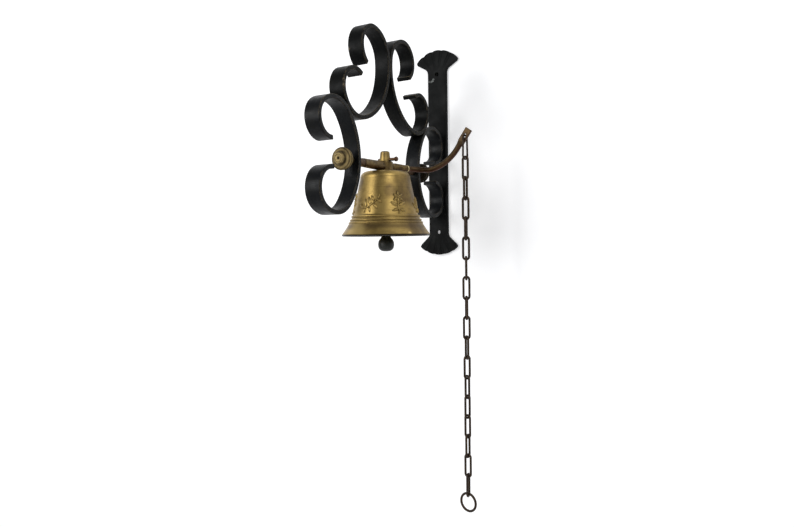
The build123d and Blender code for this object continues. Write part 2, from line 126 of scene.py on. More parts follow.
@dataclass(frozen=True)
class Band:
    """A stripe where a distance has one value: that value, and the stripe's reach either side."""

    place: float
    width: float


class Board:
    """A material's node tree, with short calls for the nodes that the finishes share."""

    RAYS: ClassVar[int] = 6
    MIX_INPUTS: ClassVar[tuple[int, int, int]] = (0, 6, 7)
    MIX_OUTPUT: ClassVar[int] = 2
    EDGE_COSINES: ClassVar[Span] = (0.995, 0.86)
    OPEN_LIGHT: ClassVar[Span] = (0.95, 0.35)
    DOWNWARD: ClassVar[Span] = (-0.05, -0.7)

    def __init__(self, name: str) -> None:
        """Start an empty material.

        Args:
            name: The material's name.
        """
        self.material = bpy.data.materials.new(name)
        self.material.use_nodes = True
        self.tree = self.material.node_tree
        self.tree.nodes.clear()
        self.place = self.node("ShaderNodeTexCoord").outputs["Object"]

    def node(self, kind: str, settings: Optional[dict[str, object]] = None,
             **inputs: Value) -> bpy.types.Node:
        """Add a node and fill its inputs.

        Args:
            kind: Blender's name for the node type.
            settings: The node's own options.
            **inputs: Input values or sockets; an underscore in a name stands for a space.

        Returns:
            The new node.
        """
        made = self.tree.nodes.new(kind)
        for key, value in (settings or {}).items():
            setattr(made, key, value)
        for key, value in inputs.items():
            self.feed(made.inputs[key.replace("_", " ")], value)
        return made

    def feed(self, target: Socket, value: Value) -> None:
        """Link a socket to an input, or set the input to a value.

        Args:
            target: The input.
            value: A socket to link, a number, or a colour or vector of three numbers.
        """
        if isinstance(value, bpy.types.NodeSocket):
            self.tree.links.new(value, target)
        elif isinstance(value, (tuple, list)) and len(value) == 3 and target.type == "RGBA":
            target.default_value = (*value, 1.0)
        else:
            target.default_value = value

    def stretched(self, scale: Sequence[float]) -> Socket:
        """Return the object's coordinates multiplied along each axis."""
        made = self.node("ShaderNodeMapping", Vector=self.place, Scale=tuple(scale))
        return made.outputs["Vector"]

    def noise(self, size: float, detail: float = 4, rough: float = 0.55,
              where: Optional[Socket] = None) -> Socket:
        """Return soft noise from 0 to 1.

        Args:
            size: Width of one patch in metres.
            detail: How many finer layers it holds.
            rough: How strong those layers are.
            where: Coordinates, if not the object's own.

        Returns:
            The noise's value.
        """
        made = self.node("ShaderNodeTexNoise", Vector=where or self.place, Scale=1 / size,
                         Detail=detail, Roughness=rough)
        return made.outputs["Fac"]

    def sums(self, step: Sum, first: Value, second: Value = 0.0) -> Socket:
        """Return the result of one sum.

        Args:
            step: Which sum.
            first: The first value.
            second: The second value, where the sum takes two.

        Returns:
            The result.
        """
        made = self.node("ShaderNodeMath", {"operation": step.value, "use_clamp": False})
        self.feed(made.inputs[0], first)
        self.feed(made.inputs[1], second)
        return made.outputs[0]

    def times(self, first: Value, second: Value) -> Socket:
        """Return the product of two values."""
        return self.sums(Sum.MULTIPLY, first, second)

    def spread(self, value: Value, low: float, high: float, to_low: float = 0.0,
               to_high: float = 1.0) -> Socket:
        """Return a value moved smoothly from one range to another, and held inside it.

        Args:
            value: The value.
            low: Where its range starts; it may lie above the end.
            high: Where its range ends.
            to_low: The result at the start.
            to_high: The result at the end.

        Returns:
            The result.
        """
        made = self.node("ShaderNodeMapRange", {"interpolation_type": "SMOOTHSTEP"}, Value=value,
                         From_Min=low, From_Max=high, To_Min=to_low, To_Max=to_high)
        return made.outputs["Result"]

    def mix(self, share: Value, first: Value, second: Value) -> Socket:
        """Return a blend of two colours.

        Args:
            share: How much of the second it holds, from 0 to 1.
            first: The first colour.
            second: The second colour.

        Returns:
            The blend.
        """
        made = self.node("ShaderNodeMix", {"data_type": "RGBA"})
        for number, value in zip(self.MIX_INPUTS, (share, first, second)):
            self.feed(made.inputs[number], value)
        return made.outputs[self.MIX_OUTPUT]

    def steps(self, value: Socket, stops: Sequence[tuple[float, Colour]]) -> Socket:
        """Return a colour that runs through the given stops as a value rises.

        Args:
            value: The value.
            stops: Pairs of a value and the colour there.

        Returns:
            The colour.
        """
        made = self.node("ShaderNodeValToRGB", Fac=value)
        ramp = made.color_ramp
        while len(ramp.elements) < len(stops):
            ramp.elements.new(0.5)
        for element, (spot, colour) in zip(ramp.elements, stops):
            element.position = spot
            element.color = (*colour, 1.0)
        return made.outputs["Color"]

    def rounded(self, radius: float) -> Socket:
        """Return normals that run smoothly over each edge."""
        return self.node("ShaderNodeBevel", {"samples": self.RAYS}, Radius=radius).outputs["Normal"]

    def edges(self, radius: float) -> Socket:
        """Return 1 on sharp edges and 0 on flat ground.

        Args:
            radius: How far from an edge it still counts.

        Returns:
            The share, from 0 to 1.
        """
        plain = self.node("ShaderNodeNewGeometry").outputs["True Normal"]
        both = self.node("ShaderNodeVectorMath", {"operation": "DOT_PRODUCT"})
        self.feed(both.inputs[0], self.rounded(radius))
        self.feed(both.inputs[1], plain)
        return self.spread(both.outputs["Value"], *self.EDGE_COSINES)

    def hollows(self, reach: float) -> Socket:
        """Return 1 in corners that little light reaches, and 0 in the open."""
        made = self.node("ShaderNodeAmbientOcclusion", {"samples": self.RAYS}, Distance=reach)
        return self.spread(made.outputs["AO"], *self.OPEN_LIGHT)

    def bump(self, height: Socket, depth: float, under: Socket) -> Socket:
        """Return normals roughened by a height of the given depth in metres."""
        made = self.node("ShaderNodeBump", Height=height, Distance=depth, Normal=under)
        return made.outputs["Normal"]

    def along(self, axis: Axis, vector: Optional[Socket] = None) -> Socket:
        """Return one coordinate of a vector, or of the place on the object."""
        return self.node("ShaderNodeSeparateXYZ", Vector=vector or self.place).outputs[axis.value]

    def facing_down(self) -> Socket:
        """Return 1 on the object's undersides and 0 on its sides and top."""
        normal = self.node("ShaderNodeTexCoord").outputs["Normal"]
        return self.spread(self.along(Axis.Z, normal), *self.DOWNWARD)

    def near(self, spot: Spot, core: float = 0.4, where: Optional[Socket] = None) -> Socket:
        """Return 1 in the middle of a spot, falling to 0 at its reach.

        Args:
            spot: The spot.
            core: How much of its reach is full, from 0 to 1.
            where: Coordinates, if not the object's own.

        Returns:
            The share, from 0 to 1, without the spot's own.
        """
        made = self.node("ShaderNodeVectorMath", {"operation": "DISTANCE"})
        self.feed(made.inputs[0], where or self.place)
        self.feed(made.inputs[1], spot.place)
        return self.spread(made.outputs["Value"], spot.reach, spot.reach * core)

    def within(self, value: Socket, band: Band, core: float = 0.0) -> Socket:
        """Return 1 where a value lies in the middle of a band, falling to 0 at its width.

        Args:
            value: The value.
            band: The band.
            core: How much of its width is full, from 0 to 1.

        Returns:
            The share, from 0 to 1.
        """
        away = self.sums(Sum.SIZE, self.sums(Sum.SUBTRACT, value, band.place))
        return self.spread(away, band.width, band.width * core)

    def close(self, surface: bpy.types.Node) -> bpy.types.Material:
        """Wire a shader to the output and return the finished material."""
        self.node("ShaderNodeOutputMaterial", Surface=surface.outputs[0])
        return self.material


@dataclass(frozen=True)
class MetalFinish:
    """A worn metal surface: patchy colour, rubbed edges, painted shade in the corners and a rough
    skin.

    Sizes are in metres and shares run from 0 to 1.

    Attributes:
        name: The material's name.
        deep: Colour of the darkest patches and of the painted shade in the corners.
        body: Colour of most of the surface.
        bright: Colour of the lightest patches.
        edge: Colour where it is rubbed bare.
        metal: How metallic it is.
        shine: Strength of the gloss of what isn't metal.
        roughness: Roughness of its smoothest and of its dullest patches.
        patch: Width of a patch of colour.
        grain: Width of a grain of the skin.
        depth: Depth of the skin's relief.
        edge_radius: How far an edge is rounded and rubbed.
        edge_share: How much the edges are rubbed.
        hollow_shade: How dark the painted shade in the corners is.
        hollow_shade_reach: How far the painted shade comes out of a corner.
        deep_at: Value of the patches' noise at which they are darkest.
        under: Colour of the painted shade on faces that look down.
        downward_shade_share: How much of that painted shade they take.
    """

    name: str
    deep: Colour
    body: Colour
    bright: Colour
    edge: Colour
    metal: float = 0.9
    shine: float = 0.5
    roughness: Span = (0.3, 0.5)
    patch: float = 0.012
    grain: float = 0.0012
    depth: float = 0.00012
    edge_radius: float = 0.0005
    edge_share: float = 0.6
    hollow_shade: float = 0.6
    hollow_shade_reach: float = 0.004
    deep_at: float = 0.3
    under: Colour = BLACK
    downward_shade_share: float = 0.0

    BODY_AT: ClassVar[float] = 0.5
    BRIGHT_AT: ClassVar[float] = 0.7
    BLOTCH_SHARE: ClassVar[float] = 0.75
    SPECK_GRAINS: ClassVar[float] = 2.5
    WEAR_PATCH: ClassVar[float] = 0.006
    WEAR_SPAN: ClassVar[Span] = (0.35, 0.62)
    DULL_PATCHES: ClassVar[float] = 0.6
    DULL_SPAN: ClassVar[Span] = (0.3, 0.7)

    def colour(self, board: Board) -> Socket:
        """Return the patchy ground colour, before wear and grime.

        Args:
            board: The material's node tree.

        Returns:
            The colour.
        """
        blotch = board.noise(self.patch, detail=6, rough=0.62)
        speck = board.noise(self.grain * self.SPECK_GRAINS, detail=5, rough=0.7)
        value = board.sums(Sum.ADD, board.times(blotch, self.BLOTCH_SHARE),
                           board.times(speck, 1 - self.BLOTCH_SHARE))
        return board.steps(value, ((self.deep_at, self.deep), (self.BODY_AT, self.body),
                                   (self.BRIGHT_AT, self.bright)))

    def height(self, board: Board) -> Socket:
        """Return the fine relief of the skin."""
        return board.noise(self.grain, detail=6, rough=0.6)

    def marks(self, board: Board, colour: Socket) -> Socket:
        """Return the colour with marks that only this surface has; a plain finish has none."""
        return colour

    def build(self) -> bpy.types.Material:
        """Make the material.

        Returns:
            The material.
        """
        board = Board(self.name)
        ragged = board.spread(board.noise(self.WEAR_PATCH, detail=5), *self.WEAR_SPAN)
        worn = board.times(board.times(board.edges(self.edge_radius), ragged), self.edge_share)
        # Painted shade: corners and hollows that little light reaches turn towards the deep colour.
        hollow_shade_share = board.times(board.hollows(self.hollow_shade_reach), self.hollow_shade)
        colour = self.marks(board, self.colour(board))
        # Painted shade: faces that look down turn towards the under colour.
        if self.downward_shade_share:
            share = board.times(board.facing_down(), self.downward_shade_share)
            colour = board.mix(share, colour, self.under)
        colour = board.mix(worn, colour, self.edge)
        colour = board.mix(hollow_shade_share, colour, self.deep)
        cloud = board.noise(self.patch * self.DULL_PATCHES, detail=5)
        dull = board.spread(cloud, *self.DULL_SPAN, *self.roughness)
        skin = board.bump(self.height(board), self.depth, board.rounded(self.edge_radius))
        surface = board.node("ShaderNodeBsdfPrincipled", Base_Color=colour, Roughness=dull,
                             Normal=skin, Metallic=self.metal, Specular_IOR_Level=self.shine)
        return board.close(surface)


@dataclass(frozen=True)
class BlackIron(MetalFinish):
    """Black paint on hammered bar, rubbed brown at the edges and chipped in places.

    Attributes:
        brush: Width of a brush line.
        chip: Colour of what shows where the paint is gone.
        chips: Where it is gone.
    """

    brush: float = 0.0022
    chip: Colour = shade(118, 120, 118)
    chips: tuple[Spot, ...] = ()

    DENT: ClassVar[float] = 0.009
    DENT_WEIGHT: ClassVar[float] = 2.4
    BRUSH_WEIGHT: ClassVar[float] = 1.4
    BRUSH_STRETCH: ClassVar[Place] = (1.0, 0.06, 0.06)
    CHIP_RAGS: ClassVar[float] = 0.0016
    CHIP_SPAN: ClassVar[Span] = (0.4, 0.54)

    def height(self, board: Board) -> Socket:
        """Return soft hammer dents, with paint grain and brush lines along the bar over them.

        Args:
            board: The material's node tree.

        Returns:
            The height.
        """
        dents = board.noise(self.DENT, detail=2, rough=0.4)
        stretched = board.stretched(self.BRUSH_STRETCH)
        lines = board.noise(self.brush, detail=3, rough=0.5, where=stretched)
        grain = board.noise(self.grain, detail=5, rough=0.6)
        fine = board.sums(Sum.ADD, grain, board.times(lines, self.BRUSH_WEIGHT))
        return board.sums(Sum.ADD, board.times(dents, self.DENT_WEIGHT), fine)

    def marks(self, board: Board, colour: Socket) -> Socket:
        """Chip the paint in ragged spots.

        Args:
            board: The material's node tree.
            colour: The colour so far.

        Returns:
            The colour with the chips.
        """
        for chip in self.chips:
            rags = board.spread(board.noise(self.CHIP_RAGS, detail=3), *self.CHIP_SPAN)
            colour = board.mix(board.times(board.near(chip), rags), colour, self.chip)
        return colour


@dataclass(frozen=True)
class KnobBrass(MetalFinish):
    """Turned brass, dark in the steps round the axle, with a painted highlight ring between them.

    Attributes:
        axle_height: Height of the axle in the frame.
        dark_rings: The steps, as bands of the distance from the axle.
        highlight_ring: The painted highlight ring, likewise.
    """

    axle_height: float = -0.0338
    dark_rings: tuple[Band, ...] = (
        Band(0.0, 0.0034), Band(0.0081, 0.0011), Band(0.0046, 0.0006), Band(0.0121, 0.0008))
    highlight_ring: Band = Band(0.0102, 0.0012)

    RAGS: ClassVar[float] = 0.005
    RAGS_SPAN: ClassVar[Span] = (0.3, 0.6)
    RAGS_LEAST: ClassVar[float] = 0.45
    RING_CORE: ClassVar[float] = 0.3
    DARK_SHARE: ClassVar[float] = 0.85
    HIGHLIGHT_SHARE: ClassVar[float] = 0.5

    def marks(self, board: Board, colour: Socket) -> Socket:
        """Lay the dark rings and the painted highlight ring round the axle.

        Args:
            board: The material's node tree.
            colour: The colour so far.

        Returns:
            The colour with the rings.
        """
        rise = board.sums(Sum.SUBTRACT, board.along(Axis.Z), self.axle_height)
        squares = board.sums(Sum.ADD, board.sums(Sum.POWER, rise, 2.0),
                             board.sums(Sum.POWER, board.along(Axis.X), 2.0))
        radius = board.sums(Sum.ROOT, squares)
        uneven = board.spread(board.noise(self.RAGS), *self.RAGS_SPAN, to_low=self.RAGS_LEAST)
        for ring in self.dark_rings:
            share = board.times(board.within(radius, ring, self.RING_CORE), uneven)
            colour = board.mix(board.times(share, self.DARK_SHARE), colour, self.deep)
        # Painted highlight: a brighter ring round the axle, between the dark steps.
        share = board.times(board.within(radius, self.highlight_ring), uneven)
        return board.mix(board.times(share, self.HIGHLIGHT_SHARE), colour, self.bright)


@dataclass(frozen=True)
class BellBrass(MetalFinish):
    """Cast and turned brass: stained, clouded with tarnishing and painted shade, rubbed on the lip
    with painted highlights low on the flare, and painted shade round the lip's foot.

    Attributes:
        stain: Colour of the streaks and scratches.
        tarnish_and_shade: Colour of the tarnishing, of the painted shade laid with it, and of the
            darker band round the flare.
        lip_shade: Colour of the painted shade round the bottom of the lip, outside and in.
        tarnish_and_shade_spots: Where the tarnishing and the painted shade lie in clouds.
        flare_band: The height at which a darker band runs round the flare.
        turned_line: The height of the thin turned line.
        rubbed_and_highlight_spots: A rubbed nick on the lip, and painted highlights low on the
            flare's left.
        foot: Heights between which the brass turns to that painted shade.
    """

    stain: Colour = shade(92, 72, 42)
    tarnish_and_shade: Colour = shade(68, 54, 39)
    lip_shade: Colour = shade(28, 24, 16)
    tarnish_and_shade_spots: tuple[Spot, ...] = (
        Spot((0.036, -0.158, -0.066), 0.03, 0.8), Spot((0.023, -0.184, -0.066), 0.0105, 0.8),
        Spot((0.048, -0.165, -0.112), 0.026, 0.8), Spot((-0.0215, -0.181, -0.056), 0.013, 0.8),
        Spot((0.0, -0.156, -0.019), 0.0115, 0.8))
    flare_band: Band = Band(-0.1105, 0.0055)
    turned_line: Band = Band(-0.0622, 0.0005)
    rubbed_and_highlight_spots: tuple[Spot, ...] = (
        Spot((0.0495, -0.182, -0.1195), 0.003, 1.0), Spot((-0.012, -0.209, -0.1185), 0.019, 0.6),
        Spot((-0.014, -0.199, -0.1), 0.015, 0.4))
    foot: Span = (-0.1196, -0.1212)

    STREAK: ClassVar[float] = 0.016
    STREAK_STRETCH: ClassVar[Place] = (0.5, 0.5, 2.2)
    STREAK_SPAN: ClassVar[Span] = (0.48, 0.72)
    STREAK_SHARE: ClassVar[float] = 0.42
    SCRATCH: ClassVar[float] = 0.0012
    SCRATCH_STRETCH: ClassVar[Place] = (0.12, 0.12, 1.0)
    SCRATCH_SPAN: ClassVar[Span] = (0.56, 0.74)
    SCRATCH_SHARE: ClassVar[float] = 0.4
    CLOUD: ClassVar[float] = 0.012
    CLOUD_SPAN: ClassVar[Span] = (0.25, 0.7)
    CLOUD_LEAST: ClassVar[float] = 0.6
    BREAK: ClassVar[float] = 0.02
    BAND_SPAN: ClassVar[Span] = (0.2, 0.7)
    BAND_SHARES: ClassVar[Span] = (0.35, 0.6)
    LINE_SPAN: ClassVar[Span] = (0.35, 0.6)
    LINE_SHARE: ClassVar[float] = 0.5
    RING: ClassVar[float] = 0.0009
    RING_STRETCH: ClassVar[Place] = (0.02, 0.02, 1.0)
    RING_WEIGHT: ClassVar[float] = 0.5

    def height(self, board: Board) -> Socket:
        """Return casting grain with faint turning rings.

        Args:
            board: The material's node tree.

        Returns:
            The height.
        """
        around = board.stretched(self.RING_STRETCH)
        rings = board.noise(self.RING, detail=2, rough=0.5, where=around)
        grain = board.noise(self.grain, detail=6, rough=0.62)
        return board.sums(Sum.ADD, grain, board.times(rings, self.RING_WEIGHT))

    def stained(self, board: Board, colour: Socket) -> Socket:
        """Lay stains and fine scratches that run round the bell.

        Args:
            board: The material's node tree.
            colour: The colour so far.

        Returns:
            The colour with them.
        """
        around = board.stretched(self.STREAK_STRETCH)
        streaks = board.noise(self.STREAK, detail=5, rough=0.6, where=around)
        share = board.spread(streaks, *self.STREAK_SPAN, to_high=self.STREAK_SHARE)
        colour = board.mix(share, colour, self.stain)
        around = board.stretched(self.SCRATCH_STRETCH)
        scratches = board.noise(self.SCRATCH, detail=3, rough=0.6, where=around)
        share = board.spread(scratches, *self.SCRATCH_SPAN, to_high=self.SCRATCH_SHARE)
        return board.mix(share, colour, self.stain)

    def tarnished_and_shaded(self, board: Board, colour: Socket) -> Socket:
        """Lay tarnishing with painted shade in clouds, and a darker band round the flare.

        Args:
            board: The material's node tree.
            colour: The colour so far.

        Returns:
            The colour with it.
        """
        # Clouds of tarnishing; those on the bell's right side also stand in for painted shade.
        for spot in self.tarnish_and_shade_spots:
            cloud = board.spread(board.noise(self.CLOUD), *self.CLOUD_SPAN, to_low=self.CLOUD_LEAST)
            share = board.times(board.near(spot), cloud)
            colour = board.mix(board.times(share, spot.share), colour, self.tarnish_and_shade)
        uneven = board.noise(self.BREAK, detail=3)
        uneven = board.spread(uneven, *self.BAND_SPAN, *self.BAND_SHARES)
        band = board.times(board.within(board.along(Axis.Z), self.flare_band), uneven)
        return board.mix(band, colour, self.tarnish_and_shade)

    def marks(self, board: Board, colour: Socket) -> Socket:
        """Lay the bell's marks: stains, tarnishing and painted shade, the turned line, a rubbed
        nick, painted highlights, and painted shade round the lip.

        Args:
            board: The material's node tree.
            colour: The colour so far.

        Returns:
            The colour with the marks.
        """
        colour = self.tarnished_and_shaded(board, self.stained(board, colour))
        broken = board.spread(board.noise(self.BREAK, detail=3), *self.LINE_SPAN)
        line = board.times(board.within(board.along(Axis.Z), self.turned_line), broken)
        colour = board.mix(board.times(line, self.LINE_SHARE), colour, self.deep)
        # A rubbed nick on the lip, and painted highlights low on the flare's left, in the edge
        # colour.
        for spot in self.rubbed_and_highlight_spots:
            colour = board.mix(board.times(board.near(spot), spot.share), colour, self.edge)
        # Painted shade round the bottom of the lip, from the foot's heights downwards.
        return board.mix(board.spread(board.along(Axis.Z), *self.foot), colour, self.lip_shade)


class Stock(Enum):
    """The finishes that the doorbell is made in."""

    SCROLL_IRON = BlackIron(
        "scroll_iron", shade(7, 9, 12), shade(11, 13, 15), shade(21, 20, 17), shade(128, 114, 90),
        metal=0.0, shine=0.11, roughness=(0.3, 0.48), patch=0.02, grain=0.0012, depth=0.00014,
        edge_radius=0.0011, edge_share=0.8, hollow_shade=0.5)
    TOP_IRON = BlackIron(
        "top_iron", shade(7, 8, 9), shade(11, 12, 12), shade(20, 20, 17), shade(128, 114, 90),
        metal=0.0, shine=0.06, roughness=(0.34, 0.5), patch=0.02, grain=0.0012, depth=0.00014,
        edge_radius=0.0011, edge_share=0.9, hollow_shade=0.5, chip=shade(98, 88, 72),
        chips=(Spot((0.0102, -0.2597, 0.054), 0.0032), Spot((0.0102, -0.26, 0.048), 0.003),
               Spot((-0.0096, -0.2218, 0.1011), 0.003)))
    PLATE_IRON = BlackIron(
        "plate_iron", shade(10, 11, 11), shade(15, 16, 16), shade(21, 22, 21), shade(56, 52, 45),
        metal=0.0, shine=0.07, roughness=(0.42, 0.62), patch=0.03, grain=0.0012, depth=0.00007,
        edge_share=0.6, hollow_shade=0.5,
        chips=(Spot((-0.0125, -0.005, 0.1064), 0.0022), Spot((-0.0095, -0.005, 0.1062), 0.0022),
               Spot((-0.0066, -0.005, 0.107), 0.0022), Spot((-0.0056, -0.005, 0.1092), 0.0022)))
    BELL_BRASS = BellBrass(
        "bell_brass", shade(62, 48, 28), shade(158, 133, 77), shade(172, 146, 87),
        shade(196, 170, 108), metal=0.9, roughness=(0.38, 0.46), patch=0.03, grain=0.0014,
        depth=0.00005, edge_share=0.4, hollow_shade=0.85, hollow_shade_reach=0.0028, deep_at=0.05)
    KNOB_BRASS = KnobBrass(
        "knob_brass", shade(44, 35, 22), shade(128, 111, 74), shade(154, 135, 91),
        shade(170, 151, 105), metal=0.85, roughness=(0.46, 0.6), patch=0.008, grain=0.001,
        depth=0.00005, hollow_shade=0.95, hollow_shade_reach=0.003)
    # Painted shade: the knob's brass made much darker for the rear knob, which sits in shade behind
    # the rear spine.
    SHADED_REAR_KNOB_BRASS = KnobBrass(
        "shaded_rear_knob_brass", shade(22, 18, 13), shade(52, 43, 29), shade(70, 58, 39),
        shade(92, 77, 52), metal=0.75, roughness=(0.5, 0.65), patch=0.008, grain=0.001,
        depth=0.00005, hollow_shade=0.95, hollow_shade_reach=0.003)
    # Its under colour is dark reddish painted shade on the yoke's undersides.
    YOKE_BRASS = MetalFinish(
        "yoke_brass", shade(44, 32, 19), shade(98, 80, 46), shade(124, 103, 62),
        shade(136, 115, 72), metal=0.8, roughness=(0.36, 0.52), patch=0.007, grain=0.001,
        depth=0.00008, edge_share=0.3, hollow_shade=0.9, under=shade(58, 32, 20), downward_shade_share=0.75)
    # Its under colour is dark reddish painted shade on the arm's undersides.
    ARM_BRASS = MetalFinish(
        "arm_brass", shade(46, 31, 20), shade(74, 57, 36), shade(94, 75, 48), shade(108, 88, 58),
        metal=0.8, roughness=(0.38, 0.52), patch=0.012, grain=0.0011, depth=0.00006,
        edge_share=0.3, hollow_shade=0.5, under=shade(62, 30, 18), downward_shade_share=0.8)
    FERRULE_BRASS = MetalFinish(
        "ferrule_brass", shade(120, 100, 64), shade(205, 188, 140), shade(230, 216, 172),
        shade(236, 224, 184), metal=0.85, roughness=(0.28, 0.42), patch=0.004, grain=0.0008,
        depth=0.00004, hollow_shade=0.3)
    SLEEVE_COPPER = MetalFinish(
        "sleeve_copper", shade(34, 25, 18), shade(72, 54, 38), shade(94, 73, 51),
        shade(108, 88, 64), metal=0.75, roughness=(0.4, 0.6), patch=0.006, grain=0.0009,
        depth=0.00006, edge_share=0.0, hollow_shade=0.8)
    PIN_BRASS = MetalFinish(
        "pin_brass", shade(48, 30, 20), shade(84, 58, 38), shade(106, 80, 52),
        shade(128, 102, 68), metal=0.75, roughness=(0.42, 0.58), patch=0.005, grain=0.0008,
        depth=0.00005, edge_share=0.2, hollow_shade=0.8, hollow_shade_reach=0.003)
    CLAPPER_IRON = MetalFinish(
        "clapper_iron", shade(18, 19, 17), shade(28, 30, 26), shade(40, 41, 35),
        shade(62, 60, 50), metal=0.0, shine=0.3, roughness=(0.36, 0.52), patch=0.008,
        grain=0.0011, depth=0.00007, edge_share=0.2, hollow_shade=0.6)
    CHAIN_STEEL = MetalFinish(
        "chain_steel", shade(34, 25, 19), shade(53, 41, 31), shade(70, 56, 42),
        shade(88, 72, 56), metal=0.6, shine=0.3, roughness=(0.4, 0.58), patch=0.006,
        grain=0.0008, depth=0.00004, edge_share=0.0, hollow_shade=0.7, hollow_shade_reach=0.0025)


class Workshop:
    """Makes each finish once and puts it on objects."""

    def __init__(self) -> None:
        """Start with no finish made."""
        self.made: dict[Stock, bpy.types.Material] = {}

    def material(self, stock: Stock) -> bpy.types.Material:
        """Return the material of a finish, and make it at its first use.

        Args:
            stock: The finish.

        Returns:
            Its material.
        """
        if stock not in self.made:
            self.made[stock] = stock.value.build()
        return self.made[stock]

    def dress(self, node: str, stock: Stock) -> None:
        """Put a finish on a node of the frame.

        Args:
            node: The node's name.
            stock: The finish for all of its slots.
        """
        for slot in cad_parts[node].material_slots:
            slot.link = "OBJECT"
            slot.material = self.material(stock)
        LOG.info("%s in %s", node, stock.value.name)


@dataclass
class Bracket:
    """The wall plate and the four scrolls."""

    shop: Workshop
    plate: str = "wall_plate"
    low_scrolls: tuple[str, ...] = ("scroll_front", "scroll_rear")
    top_scrolls: tuple[str, ...] = ("scroll_top_front", "scroll_top_rear")

    def dress(self) -> None:
        """Paint the bracket black."""
        self.shop.dress(self.plate, Stock.PLATE_IRON)
        for scroll in self.low_scrolls:
            self.shop.dress(scroll, Stock.SCROLL_IRON)
        for scroll in self.top_scrolls:
            self.shop.dress(scroll, Stock.TOP_IRON)


@dataclass
class BellRig:
    """Everything that swings on the axle: yoke, arm, knobs, bell, pin and staple."""

    shop: Workshop
    finishes: dict[str, Stock] = field(default_factory=lambda: {
        "yoke": Stock.YOKE_BRASS, "arm_ferrule": Stock.FERRULE_BRASS, "lever_arm": Stock.ARM_BRASS,
        "front_spacer": Stock.SLEEVE_COPPER, "rear_spacer": Stock.SLEEVE_COPPER,
        "front_knob": Stock.KNOB_BRASS, "rear_knob": Stock.SHADED_REAR_KNOB_BRASS,
        "bell": Stock.BELL_BRASS, "cross_pin": Stock.PIN_BRASS,
        "clapper_staple": Stock.CLAPPER_IRON, "clapper": Stock.CLAPPER_IRON})

    def dress(self) -> None:
        """Give each piece its metal."""
        for node, stock in self.finishes.items():
            self.shop.dress(node, stock)


@dataclass
class PullChain:
    """The hanger, the links and the ring."""

    shop: Workshop
    link_start: str = "chain_"
    ring: str = "pull_ring"

    def dress(self) -> None:
        """Brown the steel of every link."""
        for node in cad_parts:
            if node.startswith(self.link_start) or node == self.ring:
                self.shop.dress(node, Stock.CHAIN_STEEL)


@dataclass(frozen=True)
class Leaf:
    """A pointed leaf with a raised rib and a wavy edge, drawn flat in metres.

    It grows from its foot, (across, up), at a lean in degrees where 90 is up.
    """

    foot: Flat
    lean: float
    length: float
    width: float
    rise: float = 0.0016

    ROWS: ClassVar[int] = 9
    MIDDLE: ClassVar[int] = 3
    OUTLINE: ClassVar[Span] = (0.06, 0.9)
    OUTLINE_POWER: ClassVar[float] = 0.8
    WAVES: ClassVar[int] = 9
    WAVE_DEPTH: ClassVar[float] = 0.14
    SWELL: ClassVar[Span] = (0.14, 0.76)
    SWELL_POWER: ClassVar[float] = 0.7
    DOME_POWER: ClassVar[float] = 2.6
    DOME_SHARE: ClassVar[float] = 0.85
    RIB_SHARE: ClassVar[float] = 0.3
    SINK: ClassVar[float] = 0.00025

    def arch(self, span: Span, t: float) -> float:
        """Return half a wave that starts and runs by the given shares of itself."""
        return math.sin(math.pi * (span[0] + span[1] * t))

    def rows(self) -> Grid:
        """Draw the leaf from foot to tip.

        Returns:
            Rows of (across, up, rise) points.
        """
        turn = math.radians(self.lean)
        along = Vector((math.cos(turn), math.sin(turn)))
        side = Vector((-along.y, along.x))
        rows = []
        for i in range(self.ROWS):
            t = i / (self.ROWS - 1)
            outline = self.arch(self.OUTLINE, t) ** self.OUTLINE_POWER
            wave = 1 + self.WAVE_DEPTH * math.cos(t * self.WAVES * math.pi)
            half = self.width / 2 * outline * wave
            swell = self.arch(self.SWELL, t) ** self.SWELL_POWER
            row = []
            for j in range(2 * self.MIDDLE + 1):
                s = j / self.MIDDLE - 1
                point = Vector(self.foot) + along * (self.length * t) + side * (half * s)
                dome = (1 - abs(s) ** self.DOME_POWER) * swell
                rib = self.RIB_SHARE if j == self.MIDDLE else 0.0
                height = self.rise * (self.DOME_SHARE * dome + rib * dome)
                row.append((point.x, point.y, height - self.SINK * abs(s)))
            rows.append(row)
        return rows


@dataclass(frozen=True)
class Stem:
    """A round stem along a smooth line that is drawn towards four points, (across, up)."""

    points: tuple[Flat, Flat, Flat, Flat]
    width: float = 0.0024
    rise: float = 0.0014

    ROWS: ClassVar[int] = 13
    MIDDLE: ClassVar[int] = 2
    TAPER: ClassVar[float] = 0.45
    SINK: ClassVar[float] = 0.0002

    def rows(self) -> Grid:
        """Draw the stem from its thick end to its thin one.

        Returns:
            Rows of (across, up, rise) points.
        """
        a, b, c, d = (Vector(point) for point in self.points)
        rows = []
        for i in range(self.ROWS):
            t = i / (self.ROWS - 1)
            u = 1 - t
            middle = a * u ** 3 + b * 3 * t * u ** 2 + c * 3 * t * t * u + d * t ** 3
            run = ((b - a) * u ** 2 + (c - b) * 2 * t * u + (d - c) * t * t).normalized()
            side = Vector((-run.y, run.x)) * (self.width / 2 * (1 - self.TAPER * t))
            row = []
            for j in range(2 * self.MIDDLE + 1):
                s = j / self.MIDDLE - 1
                point = middle + side * s
                row.append((point.x, point.y, self.rise * (1 - s * s) - self.SINK * abs(s)))
            rows.append(row)
        return rows


